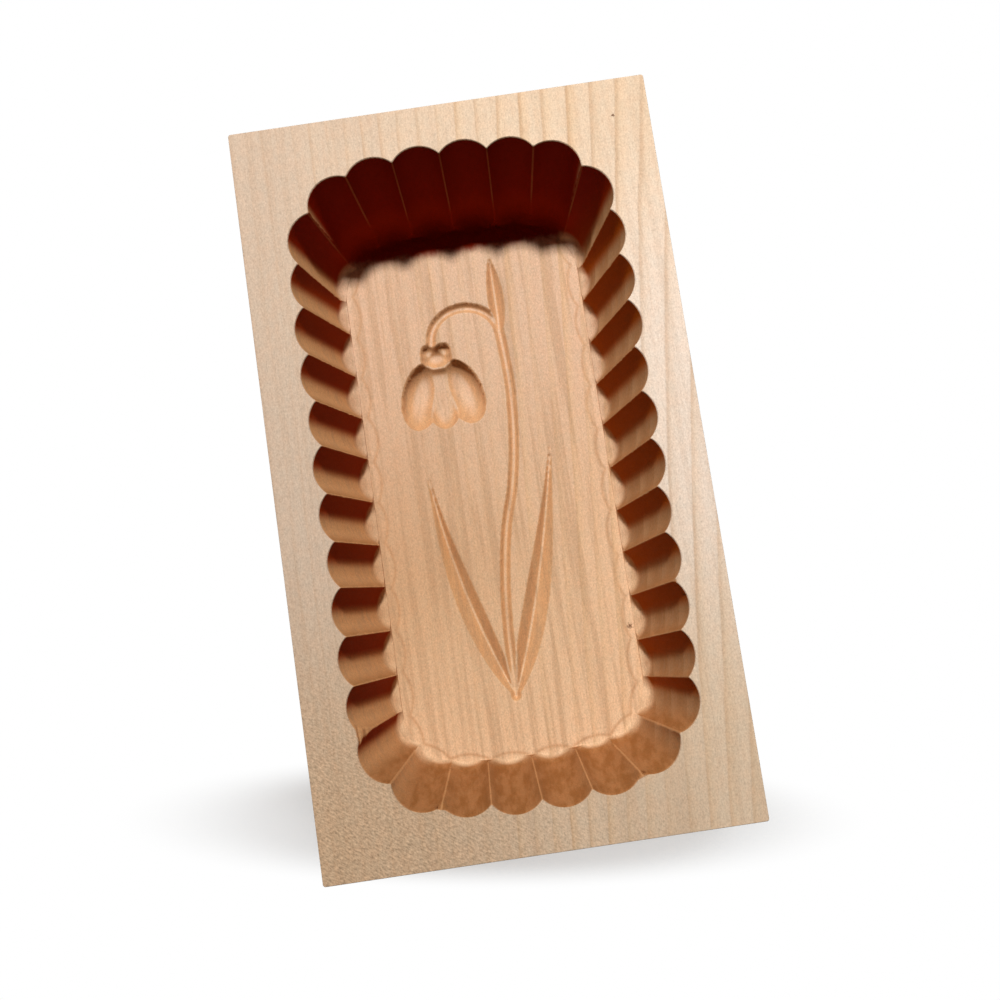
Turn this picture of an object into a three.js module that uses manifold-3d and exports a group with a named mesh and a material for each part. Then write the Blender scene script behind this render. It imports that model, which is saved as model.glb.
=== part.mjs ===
// Butter mould: one block of maple with a fluted hollow, and a snowdrop carved into its floor.
// Millimetres, +Z up, the grain and the length along Y. The origin is the middle of the underside.
import * as THREE from 'three';
import { mergeVertices } from 'three/addons/utils/BufferGeometryUtils.js';
import Module from 'manifold-3d';

// Block
const blockLength = 162;
const blockWidth = 92;
const blockHeight = 42;
const blockCornerRadius = 0.8;
const edgeEase = 0.4;

// Hollow
const cavityDepth = 30;
const sideRim = 8.9;
const endRim = 8.7;
const hollowCornerRadius = 23;
const endBowRadius = 190;
const wallDraft = THREE.MathUtils.degToRad(13);

// Flutes, each the cut of one cutter with a rounded end that leans outward with the wall
const fluteRadius = 6.55;
const fluteEndRounding = 2.9;
const flutePitch = 10.25;
const flutesInGroup = 3;
const shallowFluteBy = 0.42;
const fluteSlant = 0.8;
const spacingLineInset = 4.7;

// Flat floor, sunk a little below the ends of the flutes, with a low steep foot round it
const floorSunkBy = 0.35;
const footHeight = 3;
const footSpread = 0.35;

// Snowdrop flower: calyx, the two round knobs on top of it, and the petals
const calyxCentre = new THREE.Vector2(-8.7, 32.6);
const calyxHalfWidth = 3.75;
const calyxHalfLength = 3;
const calyxDepth = 2.3;
const knobRadius = 1.95;
const knobAside = 1.7;
const knobAbove = 1.75;
const petalDepth = 3.1;
const petalLean = THREE.MathUtils.degToRad(17);
const outerPetal = { halfWidth: 4.9, halfLength: 8.3, aside: 5, below: 8.85 };
const middlePetal = { halfWidth: 4.5, halfLength: 7.7, aside: 0, below: 9.6 };

// Snowdrop stem: it arches over from the flower, then sways down to the foot of the plant
const stemRadius = 1.15;
const stemDepth = 1.0;
const archRadiusAcross = 8.4;
const archRadiusAlong = 7.8;
const stemAsideOfCalyx = 0.8;
const stemAboveCalyx = 3.7;
const plantFoot = new THREE.Vector2(-1.3, -50.3);
const stalkBends = [[7.7, 30], [7.8, 22], [6.9, 11], [5, 0], [2.1, -10], [0.25, -20], [-0.85, -30], [-1.3, -40]];

// Snowdrop leaves: the bend and tip of each keel, and the reach of its flanks to both sides
const leafDepth = 1.5;
const leafFullness = 0.76;
const leafTaper = 1.3;
const leftLeaf = { bend: [-12.7, -21.4], tip: [-14.1, 3.2], reachLeft: 3.1, reachRight: 2.6 };
const rightLeaf = { bend: [9.4, -24.6], tip: [14.7, 5.7], reachLeft: 2.2, reachRight: 3.5 };
const rearLeaf = { bend: [7.5, 51.3], tip: [7.4, 55.2], reachLeft: 1.65, reachRight: 1.65 };

// Smoothness
const easeSteps = 2;
const blockCornerSteps = 4;
const pocketSteps = 200;
const fluteSides = 26;
const roundingSteps = 5;
const scoopSides = 24;
const scoopRings = 12;
const archSteps = 12;
const stemStep = 2.5;
const stemSides = 6;
const leafSteps = 20;

const wasm = await Module();
wasm.setup();

// What follows from the sizes above
const cutAboveRim = 3;
const floorLevel = blockHeight - cavityDepth;
const roundingLevel = floorLevel + floorSunkBy + fluteEndRounding;
const fluteRise = blockHeight - roundingLevel;
const wallLean = fluteRise * Math.tan(wallDraft);
const floorLineInset = (cavityDepth - floorSunkBy) * Math.tan(wallDraft) + fluteEndRounding;

// Turns a closed three.js geometry into a solid that can be joined and cut.
function toSolid(geometry) {
  const bare = geometry.clone();
  bare.deleteAttribute('normal');
  bare.deleteAttribute('uv');
  const merged = mergeVertices(bare, 1e-5);
  const triangles = [];
  const index = merged.index.array;
  for (let i = 0; i < index.length; i += 3) {
    const [a, b, c] = [index[i], index[i + 1], index[i + 2]];
    if (a !== b && b !== c && c !== a) triangles.push(a, b, c);
  }
  const mesh = new wasm.Mesh({
    numProp: 3,
    vertProperties: new Float32Array(merged.attributes.position.array),
    triVerts: new Uint32Array(triangles),
  });
  return new wasm.Manifold(mesh);
}

// Turns a finished solid back into a three.js geometry.
function toGeometry(solid) {
  const mesh = solid.getMesh();
  const geometry = new THREE.BufferGeometry();
  geometry.setAttribute('position', new THREE.BufferAttribute(mesh.vertProperties, 3));
  geometry.setIndex(new THREE.BufferAttribute(mesh.triVerts, 1));
  geometry.computeVertexNormals();
  return geometry;
}

// The block, its upright corners rounded and all its edges eased.
function makeBlock() {
  const x = blockWidth / 2 - edgeEase;
  const y = blockLength / 2 - edgeEase;
  const r = blockCornerRadius - edgeEase;
  const plan = new THREE.Shape();
  plan.moveTo(x, -y + r);
  plan.lineTo(x, y - r);
  plan.absarc(x - r, y - r, r, 0, Math.PI / 2, false);
  plan.lineTo(-x + r, y);
  plan.absarc(-x + r, y - r, r, Math.PI / 2, Math.PI, false);
  plan.lineTo(-x, -y + r);
  plan.absarc(-x + r, -y + r, r, Math.PI, 1.5 * Math.PI, false);
  plan.lineTo(x - r, -y);
  plan.absarc(x - r, -y + r, r, 1.5 * Math.PI, 2 * Math.PI, false);
  const body = new THREE.ExtrudeGeometry(plan, {
    depth: blockHeight - 2 * edgeEase,
    bevelEnabled: true,
    bevelThickness: edgeEase,
    bevelSize: edgeEase,
    bevelSegments: easeSteps,
    curveSegments: blockCornerSteps,
  });
  body.translate(0, 0, edgeEase);
  return toSolid(body);
}

// The plan of the hollow, drawn in by an inset from the rim: straight sides, bowed ends
// and round corners, all tangent. It starts at the middle of the +X side and runs
// anticlockwise, seen from above.
function hollowPlan(inset) {
  const halfWidth = blockWidth / 2 - sideRim - inset;
  const halfLength = blockLength / 2 - endRim - inset;
  const corner = hollowCornerRadius - inset;
  const bow = endBowRadius - inset;
  const cornerX = halfWidth - corner;
  const bowY = halfLength - bow;
  const cornerY = bowY + Math.sqrt((bow - corner) ** 2 - cornerX ** 2);
  const turn = Math.atan2(cornerY - bowY, cornerX);
  const plan = new THREE.Shape();
  plan.moveTo(halfWidth, 0);
  plan.lineTo(halfWidth, cornerY);
  plan.absarc(cornerX, cornerY, corner, 0, turn, false);
  plan.absarc(0, bowY, bow, turn, Math.PI - turn, false);
  plan.absarc(-cornerX, cornerY, corner, Math.PI - turn, Math.PI, false);
  plan.lineTo(-halfWidth, -cornerY);
  plan.absarc(-cornerX, -cornerY, corner, Math.PI, Math.PI + turn, false);
  plan.absarc(0, -bowY, bow, Math.PI + turn, 2 * Math.PI - turn, false);
  plan.absarc(cornerX, -cornerY, corner, 2 * Math.PI - turn, 2 * Math.PI, false);
  plan.lineTo(halfWidth, 0);
  return plan;
}

// The middle of the hollow: a flat floor with a low steep foot, and straight up from there.
function makePocket() {
  const plan = new THREE.Shape(hollowPlan(floorLineInset).getSpacedPoints(pocketSteps));
  const pocket = new THREE.ExtrudeGeometry(plan, {
    depth: cavityDepth + cutAboveRim,
    bevelEnabled: true,
    bevelThickness: footHeight,
    bevelSize: footSpread,
    bevelSegments: 1,
  });
  pocket.translate(0, 0, floorLevel + footHeight);
  return toSolid(pocket);
}

// One flute: the cut of a cutter with a flat tip and a rounded end, from just above the floor
// out through the rim. It leans outward, and its top is a little further along the wall than
// its foot, but each level of it stays a true circle.
function makeFlute(foot, outward, along) {
  const tipRadius = fluteRadius - fluteEndRounding;
  const profile = [new THREE.Vector2(0, -fluteEndRounding)];
  for (let i = 0; i <= roundingSteps; i++) {
    const angle = (i / roundingSteps) * (Math.PI / 2);
    const aside = tipRadius + fluteEndRounding * Math.sin(angle);
    profile.push(new THREE.Vector2(aside, -fluteEndRounding * Math.cos(angle)));
  }
  profile.push(new THREE.Vector2(fluteRadius, fluteRise + cutAboveRim));
  profile.push(new THREE.Vector2(0, fluteRise + cutAboveRim));
  const flute = new THREE.LatheGeometry(profile, fluteSides);
  flute.rotateX(Math.PI / 2);
  const lean = outward.clone().multiplyScalar(wallLean).addScaledVector(along, fluteSlant);
  lean.divideScalar(fluteRise);
  flute.applyMatrix4(new THREE.Matrix4().makeShear(0, 0, 0, 0, lean.x, lean.y));
  flute.translate(foot.x, foot.y, roundingLevel);
  return toSolid(flute);
}

// The flutes stand at even steps along the spacing line, in groups of three in which the
// middle one is shallower, and the groups are laid out alike from both ends and both sides.
function makeFlutes() {
  const line = hollowPlan(spacingLineInset);
  const groups = 2 * Math.round(line.getLength() / (flutePitch * flutesInGroup * 2));
  const count = groups * flutesInGroup;
  const middle = Math.floor(flutesInGroup / 2);
  const footInset = wallLean + fluteRadius - spacingLineInset;
  const flutes = [];
  for (let i = 0; i < count; i++) {
    const u = (i + 0.5) / count;
    const along = line.getTangentAt(u);
    const outward = new THREE.Vector2(along.y, -along.x);
    const inward = footInset + (i % flutesInGroup === middle ? shallowFluteBy : 0);
    const foot = line.getPointAt(u).addScaledVector(outward, -inward);
    flutes.push(makeFlute(foot, outward, along));
  }
  return flutes;
}

// A hollow scooped out of the floor as half an egg, its long way turned from Y.
function makeScoop(x, y, halfWidth, halfLength, depth, turn = 0) {
  const scoop = new THREE.SphereGeometry(1, scoopSides, scoopRings);
  scoop.rotateX(Math.PI / 2);
  scoop.scale(halfWidth, halfLength, depth);
  scoop.rotateZ(turn);
  scoop.translate(x, y, floorLevel);
  return toSolid(scoop);
}

// The flower hangs head down: three petals side by side under a small round calyx.
function makeFlower() {
  const { x, y } = calyxCentre;
  const petals = [-1, 0, 1].map((side) => {
    const petal = side === 0 ? middlePetal : outerPetal;
    const { halfWidth, halfLength, aside, below } = petal;
    return makeScoop(x + side * aside, y - below, halfWidth, halfLength, petalDepth, side * petalLean);
  });
  const knobs = [-1, 1].map((side) => {
    return makeScoop(x + side * knobAside, y + knobAbove, knobRadius, knobRadius, calyxDepth);
  });
  return [...petals, makeScoop(x, y, calyxHalfWidth, calyxHalfLength, calyxDepth), ...knobs];
}

// The middle line of the stem, as a curve just above the floor.
const archStartX = calyxCentre.x - stemAsideOfCalyx;
const archCentre = new THREE.Vector2(archStartX + archRadiusAcross, calyxCentre.y + stemAboveCalyx);
const archEnd = [archCentre.x + archRadiusAcross, archCentre.y];

function stemLine() {
  const points = [];
  for (let i = 0; i <= archSteps; i++) {
    const angle = Math.PI * (1 - i / archSteps);
    const x = archCentre.x + archRadiusAcross * Math.cos(angle);
    const y = archCentre.y + archRadiusAlong * Math.sin(angle);
    points.push([x, y]);
  }
  points.push(...stalkBends, plantFoot.toArray());
  const level = floorLevel + stemRadius - stemDepth;
  return new THREE.CatmullRomCurve3(points.map(([x, y]) => new THREE.Vector3(x, y, level)));
}

// The stem is a half round groove along its line, with a round end at the foot of the plant.
function makeStem() {
  const line = stemLine();
  const section = new THREE.Shape().absarc(0, 0, stemRadius, 0, 2 * Math.PI, false);
  const groove = new THREE.ExtrudeGeometry(section, {
    extrudePath: line,
    steps: Math.round(line.getLength() / stemStep),
    curveSegments: stemSides,
    bevelEnabled: false,
  });
  const end = makeScoop(plantFoot.x, plantFoot.y, stemRadius, stemRadius, stemDepth);
  return [toSolid(groove), end];
}

// A leaf cut with two flat flanks down to a keel that bends from the root to the tip.
// It is widest towards the root and runs out to a point at both ends.
function makeLeaf(root, { bend, tip, reachLeft, reachRight }) {
  const keelLine = new THREE.QuadraticBezierCurve(
    new THREE.Vector2(...root),
    new THREE.Vector2(...bend),
    new THREE.Vector2(...tip),
  );
  const tipFullness = 0.02;
  const flankRise = 1.25;
  const positions = [];
  for (let i = 0; i <= leafSteps; i++) {
    const t = i / leafSteps;
    const swell = Math.max(Math.sin(Math.PI * t ** leafFullness), 0) ** leafTaper + tipFullness;
    const { x, y } = keelLine.getPoint(t);
    const keel = new THREE.Vector3(x, y, floorLevel - leafDepth * Math.sqrt(swell));
    for (const reach of [-reachLeft, reachRight]) {
      const edge = new THREE.Vector3(x + reach * swell, y, floorLevel);
      positions.push(...edge.sub(keel).multiplyScalar(flankRise).add(keel).toArray());
    }
    positions.push(...keel.toArray());
  }
  const triangles = [];
  for (let i = 0; i < leafSteps; i++) {
    for (let side = 0; side < 3; side++) {
      const a = 3 * i + side;
      const b = 3 * i + ((side + 1) % 3);
      triangles.push(a, b, b + 3, a, b + 3, a + 3);
    }
  }
  const last = 3 * leafSteps;
  triangles.push(0, 2, 1, last, last + 1, last + 2);
  const leaf = new THREE.BufferGeometry();
  leaf.setAttribute('position', new THREE.Float32BufferAttribute(positions, 3));
  leaf.setIndex(triangles);
  return toSolid(leaf);
}

// Two long leaves stand up from the foot of the plant, and one shows behind the arch.
function makeLeaves() {
  const foot = plantFoot.toArray();
  return [makeLeaf(foot, leftLeaf), makeLeaf(foot, rightLeaf), makeLeaf(archEnd, rearLeaf)];
}

let mould = makeBlock();
for (const cut of [makePocket(), ...makeFlutes(), ...makeFlower(), ...makeStem(), ...makeLeaves()]) {
  mould = mould.subtract(cut);
}

const maple = new THREE.MeshStandardMaterial({ color: 0xdcbf97, roughness: 0.62, metalness: 0 });
const mouldBlock = new THREE.Mesh(toGeometry(mould), maple);
mouldBlock.name = 'mould_block';

const butterMould = new THREE.Group();
butterMould.name = 'butter_mould';
butterMould.add(mouldBlock);

export default butterMould;
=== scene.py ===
"""Wooden butter mould: the looks of the maple block, its fluted hollow and the sunk snowdrop.

The shape is worked out in millimetres and written to the mesh in metres, in the part's frame:
+X across, +Y along the grain towards the flower, +Z up, origin in the middle of the underside.
"""

import math

import bpy
import numpy as np
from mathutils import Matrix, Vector


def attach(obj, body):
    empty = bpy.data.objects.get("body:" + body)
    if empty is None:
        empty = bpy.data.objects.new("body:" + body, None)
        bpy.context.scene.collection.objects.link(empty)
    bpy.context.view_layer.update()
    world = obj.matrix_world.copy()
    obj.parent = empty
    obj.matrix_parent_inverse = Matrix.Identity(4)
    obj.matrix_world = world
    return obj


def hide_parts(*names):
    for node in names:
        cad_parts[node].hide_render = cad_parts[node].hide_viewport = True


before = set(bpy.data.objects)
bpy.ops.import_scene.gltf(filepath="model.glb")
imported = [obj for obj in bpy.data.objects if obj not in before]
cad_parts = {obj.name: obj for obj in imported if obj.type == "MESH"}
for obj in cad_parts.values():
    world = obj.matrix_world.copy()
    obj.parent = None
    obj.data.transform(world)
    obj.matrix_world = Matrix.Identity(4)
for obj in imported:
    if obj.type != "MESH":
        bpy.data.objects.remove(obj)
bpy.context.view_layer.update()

MM = 0.001

# Block
LENGTH = 162
WIDTH = 92
HEIGHT = 42
CORNER = 0.6
EASE = 0.15
LONG_STEPS = 20
SHORT_STEPS = 11
CORNER_STEPS = 8
EASE_STEPS = 4

# Hollow
DEPTH = 30
SIDE_RIM = 8.9
END_RIM = 8.7
HOLLOW_CORNER = 23
END_BOW = 190
ARC_POINTS = 900
DRAFT = math.radians(13)

# Flutes
FLUTES = 36
FLUTE_RADIUS = 6.55
END_ROUNDING = 3.9
END_ARC = 10
END_ARC_INSET = -0.1
SIDE_ARC_SHIFT = 1.4
END_DIP = 0.16
END_BULGE = 3.9
CREASE_DEPTH = 0.08
CREASE_WIDTH = 0.34
SHALLOW_BY = 0.42
SLANT = 0.8
SPACING_INSET = 4.7

# Floor and its steep foot
FLOOR = HEIGHT - DEPTH
FLOOR_INSET = 8.9
FOOT_SLOPE = 3 / 0.35
ROUNDING_LEVEL = FLOOR + 2.9
RISE = HEIGHT - ROUNDING_LEVEL
WALL_LEAN = RISE * math.tan(DRAFT)


# Mesh helpers


def quarter_to_loop(quarter):
    """A whole loop from its +X +Y quarter, mirrored to the other three, anticlockwise."""
    parts = []
    for sx, sy, step in ((1, 1, 1), (-1, 1, -1), (-1, -1, 1), (1, -1, -1)):
        parts.append((quarter * (sx, sy))[::step][:-1])
    return np.concatenate(parts)


class Loop:
    """A closed line in plan, with a point and an outward direction at any share of its length."""

    HALF_CHORD = 2e-4
    COARSE_TRIES = 1440
    FINE_TRIES = 9
    FINE_ROUNDS = 5

    def __init__(self, points):
        closed = np.vstack([points, points[:1]])
        steps = np.linalg.norm(np.diff(closed, axis=0), axis=1)
        self.share = np.concatenate([[0], np.cumsum(steps)]) / steps.sum()
        self.closed = closed

    def at(self, share):
        """The points at these shares of the length."""
        wrapped = np.asarray(share) % 1
        return np.stack([np.interp(wrapped, self.share, self.closed[:, i]) for i in (0, 1)], -1)

    def outward(self, share):
        """Unit directions to the right of the way round, from a short chord."""
        share = np.asarray(share)
        chord = self.at(share + self.HALF_CHORD) - self.at(share - self.HALF_CHORD)
        out = np.stack([chord[..., 1], -chord[..., 0]], -1)
        return out / np.linalg.norm(out, axis=-1, keepdims=True)

    def share_of(self, points):
        """The share of the length at the place nearest to each point."""
        coarse = np.linspace(0, 1, self.COARSE_TRIES, endpoint=False)
        away = np.linalg.norm(points[:, None] - self.at(coarse)[None], axis=-1)
        best = coarse[away.argmin(1)]
        span = coarse[1]
        for _ in range(self.FINE_ROUNDS):
            tries = best[:, None] + np.linspace(-span, span, self.FINE_TRIES)
            away = np.linalg.norm(points[:, None] - self.at(tries), axis=-1)
            best = tries[np.arange(len(points)), away.argmin(1)]
            span *= 2 / (self.FINE_TRIES - 1)
        return best % 1


def hollow_line(inset):
    """The hollow's plan, drawn in by an inset: a straight side, a corner arc and half of the
    bowed end, all tangent, then mirrored."""
    half_width = WIDTH / 2 - SIDE_RIM - inset
    half_length = LENGTH / 2 - END_RIM - inset
    corner = HOLLOW_CORNER - inset
    bow = END_BOW - inset
    corner_x = half_width - corner
    bow_y = half_length - bow
    corner_y = bow_y + math.sqrt((bow - corner) ** 2 - corner_x**2)
    turn = math.atan2(corner_y - bow_y, corner_x)
    a = np.linspace(0, turn, ARC_POINTS)
    b = np.linspace(turn, math.pi / 2, ARC_POINTS)
    side = np.array([[half_width, 0]])
    arc = np.stack([corner_x + corner * np.cos(a), corner_y + corner * np.sin(a)], 1)
    end = np.stack([bow * np.cos(b), bow_y + bow * np.sin(b)], 1)
    return Loop(quarter_to_loop(np.vstack([side, arc, end[1:]])))


def block_line(inset):
    """The block's outline, drawn in by an inset: straight sides and quarter-circle corners."""
    a = np.linspace(0, math.pi / 2, CORNER_STEPS + 1)
    x = WIDTH / 2 - CORNER
    y = LENGTH / 2 - CORNER
    r = CORNER - inset
    up = np.stack([np.full(LONG_STEPS, x + r), np.linspace(0, y, LONG_STEPS, endpoint=False)], 1)
    arc = np.stack([x + r * np.cos(a), y + r * np.sin(a)], 1)
    back = np.stack([np.linspace(x, 0, SHORT_STEPS + 1)[1:], np.full(SHORT_STEPS, y + r)], 1)
    return quarter_to_loop(np.vstack([up, arc, back]))


def at_level(points, level):
    """The points of a line in plan, lifted to a level."""
    return np.column_stack([points, np.full(len(points), level)])


def quads_between(inner, outer):
    """Quads, as pairs of triangles, between two rings with as many points each."""
    a, b = inner, outer
    c, d = np.roll(outer, -1), np.roll(inner, -1)
    return np.vstack([np.stack([a, b, c], 1), np.stack([a, c, d], 1)])


def zip_rings(inner, outer, inner_share, outer_share):
    """Triangles between two rings with unlike counts: each step of one ring takes in the last
    point that the other ring has passed, by their shares of the way round."""
    i_order, o_order = np.argsort(inner_share), np.argsort(outer_share)
    i_sorted, o_sorted = inner_share[i_order], outer_share[o_order]
    inner, outer = inner[i_order], outer[o_order]
    j = np.searchsorted(o_sorted, np.roll(i_sorted, -1), side="left") - 1
    i = np.searchsorted(i_sorted, np.roll(o_sorted, -1), side="right") - 1
    by_inner = np.stack([inner, outer[j], np.roll(inner, -1)], 1)
    by_outer = np.stack([inner[i], outer, np.roll(outer, -1)], 1)
    return np.vstack([by_inner, by_outer])


# The fluted wall

COLUMNS = 20
COLUMN_CROWDING = 0.75
LOWEST_LEVEL = FLOOR + 2.6
LOW_LEVELS = 6
WALL_LEVELS = 40
CUTTER_HALVINGS = 26
FOOT_HALVINGS = 30
FOOT_STEPS = 9
LEAST_FOOT = 0.005
RIDGE_COLUMNS = 2
RIDGE_BLUNT = 0.1
RIDGE_TEAR = 0.16
RIDGE_REACH = 1.6
RIM_EASE = 0.12

# Chips in the ridges at the rim: place across and along, lowest level and how far back
CHIPS = (
    (-31.2, -51.5, 33, 1.1),
    (-20.95, -68.18, 39.5, 0.8),
    (22.27, -67.38, 40, 0.7),
    (36.3, -33, 40.5, 0.5),
)

# Each level of a chip goes back by at least this share of its depth, and by chance more
CHIP_LEAST = 0.6
CHIP_SPREAD = 0.8

# A distance for points that lie inside no outline
FAR_OUTSIDE = -9.0

# Keeps a slope of none from being divided by
TINY = 1e-9

spacing_line = hollow_line(SPACING_INSET)
floor_line = hollow_line(FLOOR_INSET)
chance = np.random.default_rng(7)


def flute_feet():
    """Where each cutter stands, and the outward and the sideways direction there."""
    share = (np.arange(FLUTES) + 0.5) / FLUTES
    out = spacing_line.outward(share)
    along = np.stack([-out[:, 1], out[:, 0]], 1)
    shallow = np.where(np.arange(FLUTES) % 3 == 1, SHALLOW_BY, 0)
    inward = WALL_LEAN + FLUTE_RADIUS - SPACING_INSET + shallow
    return spacing_line.at(share) - out * inward[:, None], out, along


feet, outs, alongs = flute_feet()
lean = (outs * WALL_LEAN + alongs * SLANT) / RISE
arc_reach = WALL_LEAN + FLUTE_RADIUS - END_ARC_INSET - SIDE_ARC_SHIFT * outs[:, :1] ** 2
arc_centres = feet + outs * arc_reach


def cutter_radius(level):
    """A cutter's radius at a level: full above its rounded end, and the flat tip's radius plus
    the half width of a quarter circle below."""
    low = np.maximum(ROUNDING_LEVEL - level, 0)
    return FLUTE_RADIUS - END_ROUNDING + np.sqrt(np.maximum(END_ROUNDING**2 - low**2, 0))


def column_shares():
    """Shares across one flute from ridge to ridge, closer together towards the ridges."""
    a = np.arange(COLUMNS) / COLUMNS
    return a - COLUMN_CROWDING * np.sin(2 * math.pi * a) / (2 * math.pi)


def wall_ring(level, grow=0.0, torn=0.0):
    """One level line of the wall, flute by flute: arcs of the leaning cutters, cut off where
    neighbours cross. Each ridge is blunt, and torn back a little further by its own amount."""
    radius = cutter_radius(level) + grow
    centres = feet + lean * (level - ROUNDING_LEVEL)
    step = np.roll(centres, -1, 0) - centres
    length = np.linalg.norm(step, axis=1, keepdims=True)
    aside = np.stack([step[:, 1], -step[:, 0]], 1) / length
    reach = np.sqrt(np.maximum(radius**2 - length**2 / 4, 0))
    cross = centres + step / 2 + aside * reach
    ahead = cross - centres
    behind = np.roll(cross, 1, 0) - centres
    last = np.arctan2((ahead * alongs).sum(1), (ahead * outs).sum(1))
    first = np.arctan2((behind * alongs).sum(1), (behind * outs).sum(1))
    angle = first[:, None] + (last - first)[:, None] * column_shares()
    out = (radius * np.cos(angle))[..., None] * outs[:, None]
    side = (radius * np.sin(angle))[..., None] * alongs[:, None]
    points = centres[:, None] + out + side
    blunt = RIDGE_BLUNT + np.broadcast_to(torn, FLUTES)
    before = (np.roll(cross, 1, 0), np.roll(aside, 1, 0), blunt)
    after = (cross, aside, np.roll(blunt, -1))
    for tip, way, back in (before, after):
        offset = points - tip[:, None]
        short = np.maximum(back[:, None] - (offset * way[:, None]).sum(-1), 0)
        short[np.linalg.norm(offset, axis=-1) > RIDGE_REACH] = 0
        points += short[..., None] * way[:, None]
    return points.reshape(-1, 2)


def chipped(level):
    """How far each ridge is broken back at a level, by the chips in the rim that are nearest."""
    tips = wall_ring(HEIGHT)[::COLUMNS]
    back = np.zeros(FLUTES)
    for x, y, lowest, depth in CHIPS:
        ridge = np.hypot(tips[:, 0] - x, tips[:, 1] - y).argmin()
        back[ridge] = depth * max(level - lowest, 0) / (HEIGHT - lowest)
    return back


def tip_rise(reach):
    """How far a cutter's bulging tip stands above the floor, by the distance inside its arc: it
    dips at the arc, then comes up again as a parabola."""
    return np.maximum(reach, 0) ** 2 / (2 * END_BULGE) - END_DIP * reach


def cutter_end(points, which):
    """The level of one cutter's end over each point: the level where the cutter is just wide
    enough to reach the point, or its bulging tip where that is higher."""
    low = np.full(len(points), ROUNDING_LEVEL - END_ROUNDING)
    high = np.full(len(points), float(ROUNDING_LEVEL))
    for _ in range(CUTTER_HALVINGS):
        middle = (low + high) / 2
        centre = feet[which] + lean[which] * (middle - ROUNDING_LEVEL)[:, None]
        reached = np.linalg.norm(points - centre, axis=1) < cutter_radius(middle)
        low, high = np.where(reached, low, middle), np.where(reached, middle, high)
    reach = END_ARC - np.linalg.norm(points - arc_centres[which], axis=1)
    return np.maximum(high, FLOOR + tip_rise(reach))


def end_level(points):
    """The level of the cutters' ends over the points of a wall ring, each by the lowest of three."""
    flute = np.arange(len(points)) // COLUMNS
    return np.min([cutter_end(points, (flute + near) % FLUTES) for near in (-1, 0, 1)], axis=0)


def inside_arcs(x, y):
    """How far each point lies inside the arcs that the cutters' tips leave on the floor."""
    reach = np.full(x.shape, FAR_OUTSIDE)
    for centre in arc_centres:
        reach = np.maximum(reach, END_ARC - np.hypot(x - centre[0], y - centre[1]))
    return reach


def dishes(x, y):
    """Where the cutters' bulging tips dip under the floor, with a soft crease along their arcs.
    They have no sharp outline, so no point is inside one."""
    reach = inside_arcs(x, y)
    dip = np.maximum(-tip_rise(np.maximum(reach, 0)), 0)
    return dip + CREASE_DEPTH * crease(reach), np.full(x.shape, FAR_OUTSIDE)


def crease(reach):
    """How near the arcs a point is: 1 on them, falling off to both sides like a bell."""
    return np.exp(-((reach / CREASE_WIDTH) ** 2))


def foot_rings(ring):
    """Rings from the floor's edge out to a level line of the wall: the edge itself, the crest
    where the steep foot meets the cutters' ends, and steps up those ends. Also the edge points'
    shares of the way round."""
    shares = floor_line.share_of(ring)
    edge = floor_line.at(shares)
    across = ring - edge
    length = np.linalg.norm(across, axis=1)
    low, high = np.zeros(len(ring)), np.ones(len(ring))
    for _ in range(FOOT_HALVINGS):
        middle = (low + high) / 2
        foot = FLOOR + FOOT_SLOPE * length * middle
        above = foot > end_level(edge + across * middle[:, None])
        low, high = np.where(above, low, middle), np.where(above, middle, high)
    high = np.maximum(high, LEAST_FOOT)
    rings = [np.column_stack([edge, np.minimum(end_level(edge), FLOOR)])]
    for i in range(FOOT_STEPS):
        share = high + (1 - high) * i / FOOT_STEPS
        points = edge + across * share[:, None]
        rings.append(np.column_stack([points, end_level(points)]))
    return rings, shares


# The carving

# The flower: places are from the calyx's middle, sizes are half widths and half lengths
CALYX = (-8.7, 32.6)
CALYX_SIZE = (3.75, 3.0)
CALYX_DEPTH = 2.8
CALYX_SKEW = (0, 0.3)
KNOB_PLACE = (1.7, 1.75)
KNOB_RADIUS = 1.95
KNOB_DEPTH = 2.3
PETAL_PLACE = (4.9, -8.8)
PETAL_SHIFT = 0.2
PETAL_SIZE = (4.75, 8.3)
PETAL_DEPTH = 3.9
PETAL_LEAN = math.radians(17)
PETAL_SKEW = (0.2, 0.35)
MIDDLE_PETAL_PLACE = (0.1, -9.6)
MIDDLE_PETAL_SIZE = (4.4, 7.7)
MIDDLE_PETAL_DEPTH = 3.1
MIDDLE_PETAL_BLUNT = 8
EGG_POWER = 0.5
BOWL_POWER = 0.6

# The stem: half an ellipse by its middle and its reach across and up, then points on the stalk
STEM_RADIUS = 1.2
STEM_DEPTH = 1.2
STEM_LEFT = -13
STEM_RIGHT = 12
STEM_NEAR = -54
STEM_SLICES = 60
STEM_POINTS_PER_SPAN = 24
FAR_AWAY = 99.0
PLANT_FOOT = (-1.5, -49.6)
ARCH = (-1.1, 36.3, 8.4, 7.8)
ARCH_POINTS = 13
STALK = ((7.7, 30), (7.8, 22), (6.9, 11), (5, 0), (2.1, -10), (0.25, -20), (-0.85, -30), (-1.3, -40))

# The leaves: root, bend and tip of the keel, and the widest reach to its left and right
LEAF_DEPTH = 2.3
LEAF_FULLNESS = 0.62
LEAF_TAPER = 0.4
LEAF_END = 0.02
LEAF_FADE = 0.12
KEEL_POINTS = 400
LEAVES = (
    (PLANT_FOOT, (-12.9, -20.6), (-14.9, 7.8), 3.3, 2.5),
    (PLANT_FOOT, (9.2, -24), (16, 12.3), 2.8, 3.5),
    ((7.3, 36.3), (7.4, 51.3), (7.3, 56.4), 1.7, 2.2),
)


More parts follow.
